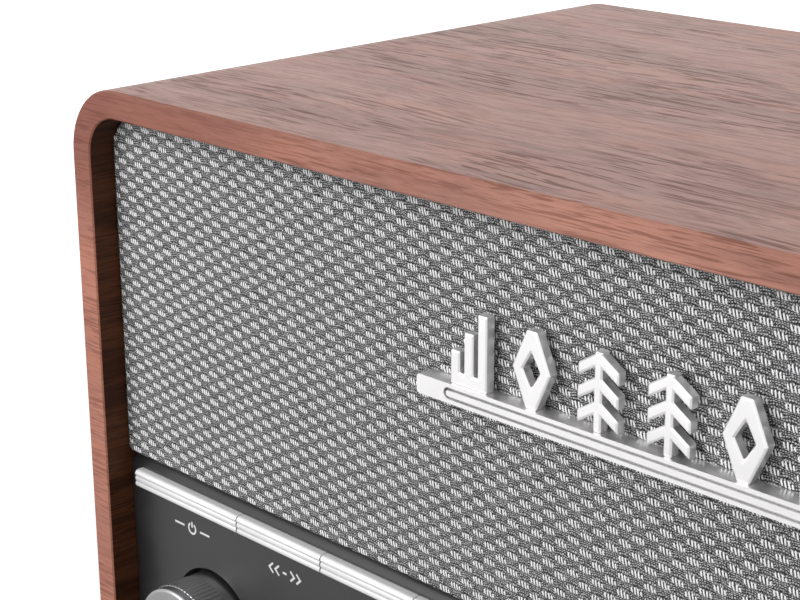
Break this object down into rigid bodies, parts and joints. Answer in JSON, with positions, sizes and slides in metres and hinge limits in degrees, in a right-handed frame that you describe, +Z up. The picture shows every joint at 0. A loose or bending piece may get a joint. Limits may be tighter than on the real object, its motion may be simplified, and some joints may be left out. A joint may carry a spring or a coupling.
{
  "type": "digital table radio",
  "caption": "Wooden table radio with a woven grille, a row of slim keys, two dials, a display window, loudspeakers and a folding telescopic antenna.",
  "frame": {"origin": "on the surface under the feet, below the middle of the whole radio", "axes": "+X to the right seen from the front, +Y to the back, +Z up; the front faces -Y"},
  "size_m": [0.4, 0.228, 0.206],
  "materials": {
    "walnut": "satin veneer",
    "bare_wood": "raw",
    "black_plastic": "matte",
    "weave": "woven",
    "silver_trim": "satin silver",
    "dark_panel": "semi gloss",
    "smoked_lens": "polished",
    "screen": "dark glass",
    "board_green": "solder mask",
    "knob_metal": "turned",
    "bright_steel": "polished",
    "pressed_steel": "plated",
    "cone_paper": "pulp",
    "rubber": "matte",
    "sink_alloy": "extruded",
    "winding": "taped",
    "rocker_black": "gloss"
  },
  "bodies": {
    "cabinet": {"antenna_base": "black_plastic", "back_panel": "black_plastic", "back_rails": "bare_wood", "back_screws": "pressed_steel", "badge_bar": "silver_trim", "badge_motifs": "silver_trim", "baffle_board": "bare_wood", "bass_port": "black_plastic", "board_posts": "pressed_steel", "cabinet_shell": "walnut", "control_panel": "dark_panel", "display_lens": "smoked_lens", "display_module": "screen", "encoder_nuts": "bright_steel", "feet": "rubber", "filter_capacitors": "sink_alloy", "grille_cloth": "weave", "grille_frame": "black_plastic", "heat_sink": "sink_alloy", "jack_plate": "pressed_steel", "key_board": "board_green", "key_switches": "black_plastic", "left_speaker_frame": "pressed_steel", "left_speaker_magnet": "pressed_steel", "main_board": "board_green", "mains_inlet": "black_plastic", "rear_jacks": "bright_steel", "right_speaker_frame": "pressed_steel", "right_speaker_magnet": "pressed_steel", "speaker_screws": "pressed_steel", "switch_frame": "black_plastic", "transformer_core": "pressed_steel", "transformer_winding": "winding", "tuner_module": "pressed_steel", "tuning_encoder": "black_plastic", "volume_encoder": "black_plastic"},
    "key_01": {"key_01": "silver_trim"},
    "key_02": {"key_02": "silver_trim"},
    "key_03": {"key_03": "silver_trim"},
    "key_04": {"key_04": "silver_trim"},
    "key_05": {"key_05": "silver_trim"},
    "key_06": {"key_06": "silver_trim"},
    "key_07": {"key_07": "silver_trim"},
    "key_08": {"key_08": "silver_trim"},
    "key_09": {"key_09": "silver_trim"},
    "key_10": {"key_10": "silver_trim"},
    "volume_dial": {"volume_knob": "knob_metal", "volume_shaft": "bright_steel"},
    "tuning_push": {"tuning_push_slider": "black_plastic"},
    "tuning_dial": {"tuning_knob": "knob_metal", "tuning_shaft": "bright_steel"},
    "left_cone": {"left_speaker_cone": "cone_paper", "left_speaker_surround": "rubber"},
    "right_cone": {"right_speaker_cone": "cone_paper", "right_speaker_surround": "rubber"},
    "power_rocker": {"switch_rocker": "rocker_black"},
    "antenna_swivel": {"antenna_knuckle": "bright_steel"},
    "antenna_rod": {"antenna_tube": "bright_steel"},
    "antenna_middle_section": {"antenna_middle": "bright_steel"},
    "antenna_tip_section": {"antenna_tip": "bright_steel"}
  },
  "joints": [
    {"name": "key_01_press", "type": "slide", "parent": "cabinet", "child": "key_01", "axis": [0, 1, 0], "range_m": [0, 0.0008], "stiffness_N_per_m": 1500},
    {"name": "key_02_press", "type": "slide", "parent": "cabinet", "child": "key_02", "axis": [0, 1, 0], "range_m": [0, 0.0008], "stiffness_N_per_m": 1500},
    {"name": "key_03_press", "type": "slide", "parent": "cabinet", "child": "key_03", "axis": [0, 1, 0], "range_m": [0, 0.0008], "stiffness_N_per_m": 1500},
    {"name": "key_04_press", "type": "slide", "parent": "cabinet", "child": "key_04", "axis": [0, 1, 0], "range_m": [0, 0.0008], "stiffness_N_per_m": 1500},
    {"name": "key_05_press", "type": "slide", "parent": "cabinet", "child": "key_05", "axis": [0, 1, 0], "range_m": [0, 0.0008], "stiffness_N_per_m": 1500},
    {"name": "key_06_press", "type": "slide", "parent": "cabinet", "child": "key_06", "axis": [0, 1, 0], "range_m": [0, 0.0008], "stiffness_N_per_m": 1500},
    {"name": "key_07_press", "type": "slide", "parent": "cabinet", "child": "key_07", "axis": [0, 1, 0], "range_m": [0, 0.0008], "stiffness_N_per_m": 1500},
    {"name": "key_08_press", "type": "slide", "parent": "cabinet", "child": "key_08", "axis": [0, 1, 0], "range_m": [0, 0.0008], "stiffness_N_per_m": 1500},
    {"name": "key_09_press", "type": "slide", "parent": "cabinet", "child": "key_09", "axis": [0, 1, 0], "range_m": [0, 0.0008], "stiffness_N_per_m": 1500},
    {"name": "key_10_press", "type": "slide", "parent": "cabinet", "child": "key_10", "axis": [0, 1, 0], "range_m": [0, 0.0008], "stiffness_N_per_m": 1500},
    {"name": "volume_turn", "type": "hinge", "parent": "cabinet", "child": "volume_dial", "pos_m": [-0.155, -0.108, 0.049], "axis": [0, 1, 0], "continuous": true},
    {"name": "tuning_press", "type": "slide", "parent": "cabinet", "child": "tuning_push", "axis": [0, 1, 0], "range_m": [0, 0.0006], "stiffness_N_per_m": 3000},
    {"name": "tuning_turn", "type": "hinge", "parent": "tuning_push", "child": "tuning_dial", "pos_m": [0.155, -0.108, 0.049], "axis": [0, 1, 0], "continuous": true},
    {"name": "left_cone_stroke", "type": "slide", "parent": "cabinet", "child": "left_cone", "axis": [0, 1, 0], "range_m": [-0.0015, 0.0015], "stiffness_N_per_m": 2000},
    {"name": "right_cone_stroke", "type": "slide", "parent": "cabinet", "child": "right_cone", "axis": [0, 1, 0], "range_m": [-0.0015, 0.0015], "stiffness_N_per_m": 2000},
    {"name": "power_rock", "type": "hinge", "parent": "cabinet", "child": "power_rocker", "pos_m": [0.128, 0.098, 0.076], "axis": [-1, 0, 0], "range_deg": [0, 16]},
    {"name": "antenna_turn", "type": "hinge", "parent": "cabinet", "child": "antenna_swivel", "pos_m": [0.165, 0.1095, 0.178], "axis": [0, 1, 0], "range_deg": [0, 180]},
    {"name": "antenna_tilt", "type": "hinge", "parent": "antenna_swivel", "child": "antenna_rod", "pos_m": [0.165, 0.1095, 0.178], "axis": [0, 0, -1], "range_deg": [0, 90]},
    {"name": "antenna_middle_draw", "type": "slide", "parent": "antenna_rod", "child": "antenna_middle_section", "axis": [-1, 0, 0], "range_m": [0, 0.13]},
    {"name": "antenna_tip_draw", "type": "slide", "parent": "antenna_middle_section", "child": "antenna_tip_section", "axis": [-1, 0, 0], "range_m": [0, 0.13]}
  ]
}
